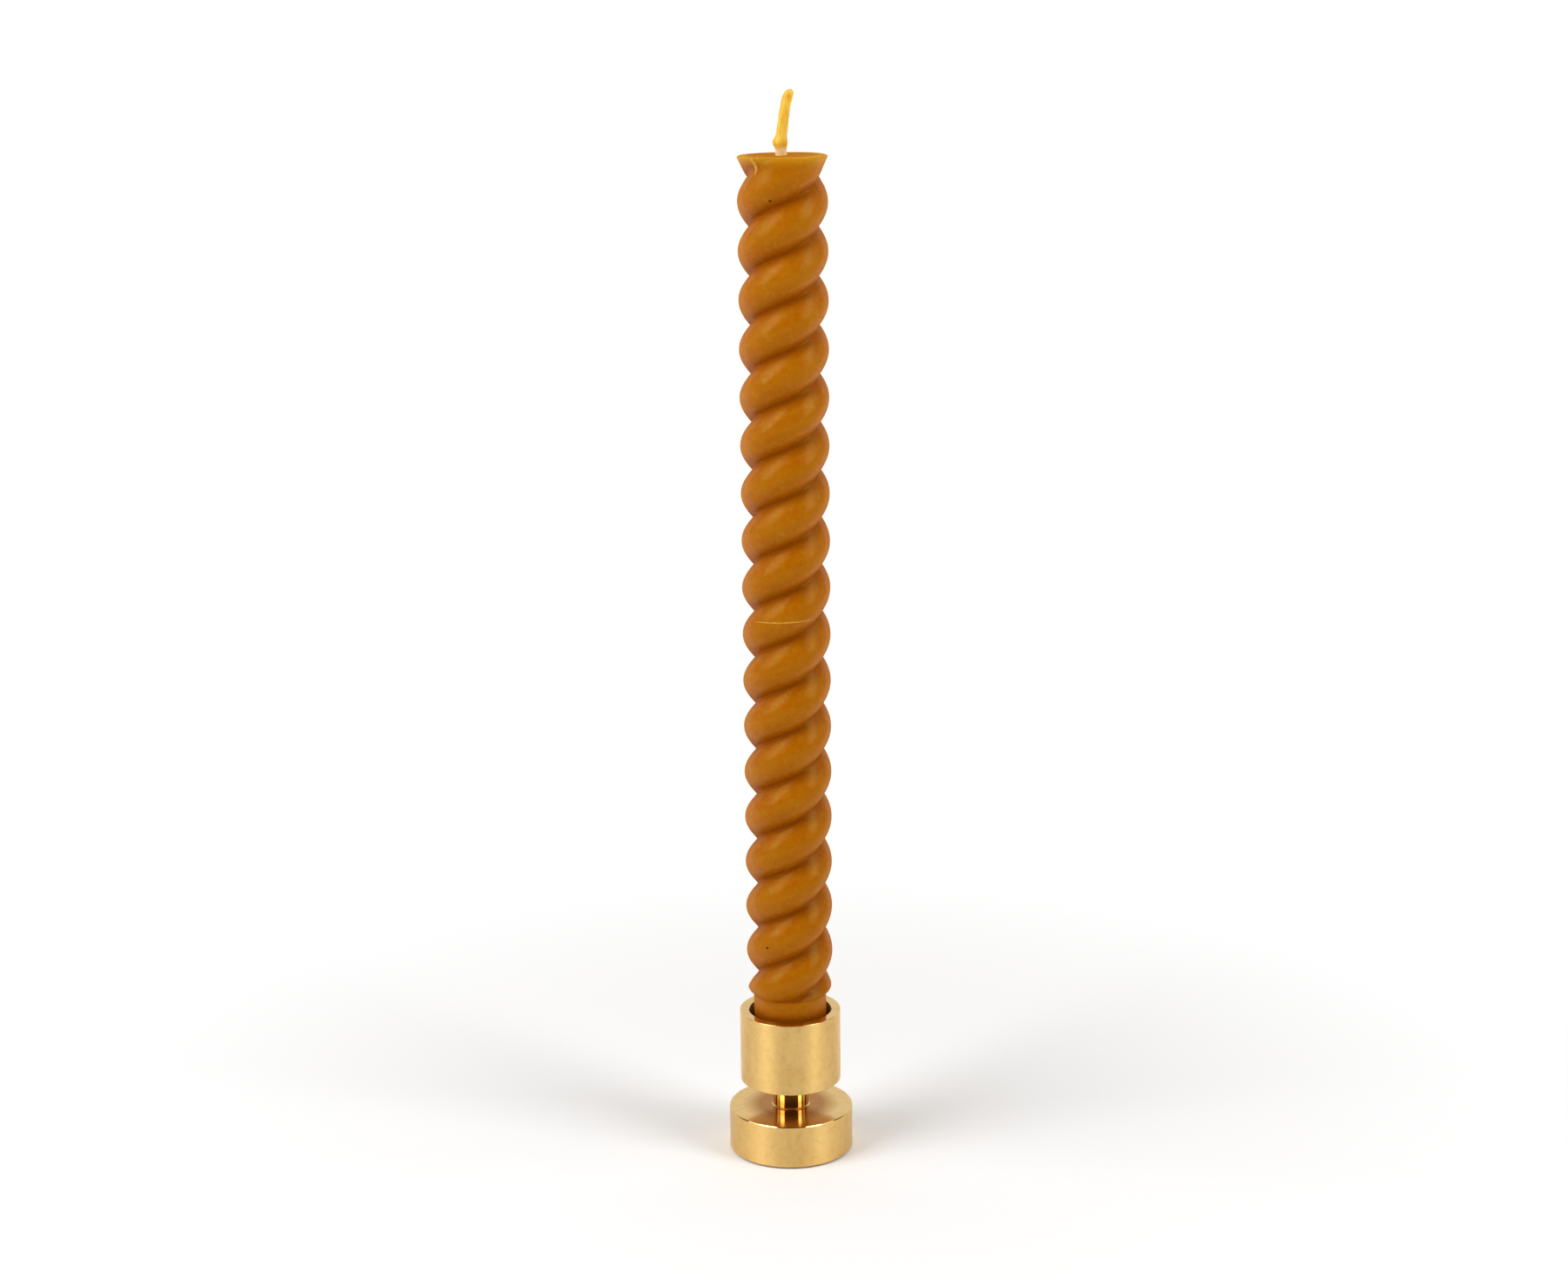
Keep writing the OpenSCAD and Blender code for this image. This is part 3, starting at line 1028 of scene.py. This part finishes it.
# a flat disc of rings, matt near the object and fading to plain white between the two radii
def makeFloor(s):
    radius = np.array(s["floorRings"])[:, None]
    flat = roundPoints(radius, roundAngles(96), 0.0)
    under = flat[:1] - (0, 0, s["floorDepth"])
    floor = skinSurface("floor", np.vstack([under, flat]))
    material, tree, shader = newMaterial("paperFloor")
    fillInputs(tree, shader, {
        "Base Color": s["floorColour"],
        "Roughness": s["floorRough"],
        "Emission Color": whiteColour,
        "Emission Strength": s["floorGlow"],
    })
    place = addNode(tree, "ShaderNodeTexCoord")
    away = addNode(tree, "ShaderNodeVectorMath", {"operation": "LENGTH"}, {0: place.outputs["Object"]})
    far = fade(tree, away.outputs["Value"], s["floorNear"], s["floorFar"])
    glow = addNode(tree, "ShaderNodeEmission", (), {"Color": whiteColour, "Strength": s["white"]})
    mix = addNode(tree, "ShaderNodeMixShader", (), {0: far, 1: shader.outputs[0], 2: glow.outputs[0]})
    out = next(n for n in tree.nodes if n.type == "OUTPUT_MATERIAL")
    tree.links.new(mix.outputs[0], out.inputs["Surface"])
    floor.data.materials.append(material)


# a bright sweep behind and below, a dim warm room in front and a soft light overhead:
# strength = room + (sweep - room) * behind * low + overhead; the camera sees plain white instead
def makeWorld(s):
    world = bpy.data.worlds.new("studio")
    scene.world = world
    world.use_nodes = True
    tree = world.node_tree
    tree.nodes.clear()
    place = addNode(tree, "ShaderNodeTexCoord")
    parts = addNode(tree, "ShaderNodeSeparateXYZ", (), {0: place.outputs["Generated"]})
    behind = fade(tree, parts.outputs["Y"], *s["sweepBehind"])
    low = fade(tree, parts.outputs["Z"], *s["sweepHeight"])
    sweep = maths(tree, "MULTIPLY", behind, low)
    overhead = remap(tree, parts.outputs["Z"], (*s["overheadHeight"], 0, s["worldOverhead"]))
    strength = maths(tree, "ADD", remap(tree, sweep, (0, 1, s["worldRoom"], s["worldSweep"])), overhead)
    tint = layered(tree, s["roomColour"], (sweep, whiteColour))
    room = addNode(tree, "ShaderNodeBackground", (), {"Color": tint, "Strength": strength})
    white = addNode(tree, "ShaderNodeBackground", (), {"Color": whiteColour, "Strength": s["white"]})
    seen = addNode(tree, "ShaderNodeLightPath").outputs["Is Camera Ray"]
    mix = addNode(tree, "ShaderNodeMixShader", (), {0: seen, 1: room.outputs[0], 2: white.outputs[0]})
    out = addNode(tree, "ShaderNodeOutputWorld")
    tree.links.new(mix.outputs[0], out.inputs["Surface"])


# turns a lamp's own -Z along the line to the target: right = up x back, and up = back x right
def aimAt(thing, place, target):
    back = unit(np.array(place) - np.array(target))
    right = unit(np.cross((0, 0, 1), back))
    up = np.cross(back, right)
    turn = Matrix([[right[k], up[k], back[k]] for k in range(3)]).to_4x4()
    thing.matrix_world = Matrix.Translation(place) @ turn


# a tall lamp at each side towards the front and a thin panel beside the object, as (power, width):
# place = distance * (side sin(angle) cos(up), -cos(angle) cos(up), sin(up))
def makeLights(s):
    for kind in ("lamp", "panel"):
        sizes = s[kind]
        angle, up = np.radians(sizes["angle"]), np.radians(sizes["elevation"])
        for side, name in ((-1, "left"), (1, "right")):
            lamp = bpy.data.lights.new(kind + name.title(), "AREA")
            lamp.shape = "RECTANGLE"
            lamp.color = s["lampColour"]
            lamp.energy, lamp.size = sizes[name]
            lamp.size_y = sizes["height"]
            light = bpy.data.objects.new(lamp.name, lamp)
            scene.collection.objects.link(light)
            direction = (side * np.sin(angle) * np.cos(up), -np.cos(angle) * np.cos(up), np.sin(up))
            aimAt(light, s["lightDistance"] * np.array(direction), s["lightTarget"])


camera = {
    "place": (-0.00074, -0.7312, 0.3257),
    "lens": 62.96,
    "pitchDown": 13.605,
    "roll": 0.556,
    "farthest": 50,
}


# looks along +Y, pitched down and rolled a little: move * turn about X * turn about Z
def makeCamera(s):
    data = bpy.data.cameras.new("camera")
    data.lens = s["lens"]
    data.clip_end = s["farthest"]
    made = bpy.data.objects.new("camera", data)
    scene.collection.objects.link(made)
    tilt = Matrix.Rotation(np.radians(90 - s["pitchDown"]), 4, "X")
    roll = Matrix.Rotation(np.radians(-s["roll"]), 4, "Z")
    made.matrix_world = Matrix.Translation(s["place"]) @ tilt @ roll
    scene.camera = made


makeFloor(stageLook)
makeWorld(stageLook)
makeLights(stageLook)
makeCamera(camera)
scene.view_settings.view_transform = "Standard"
print("stage, lights and camera made")
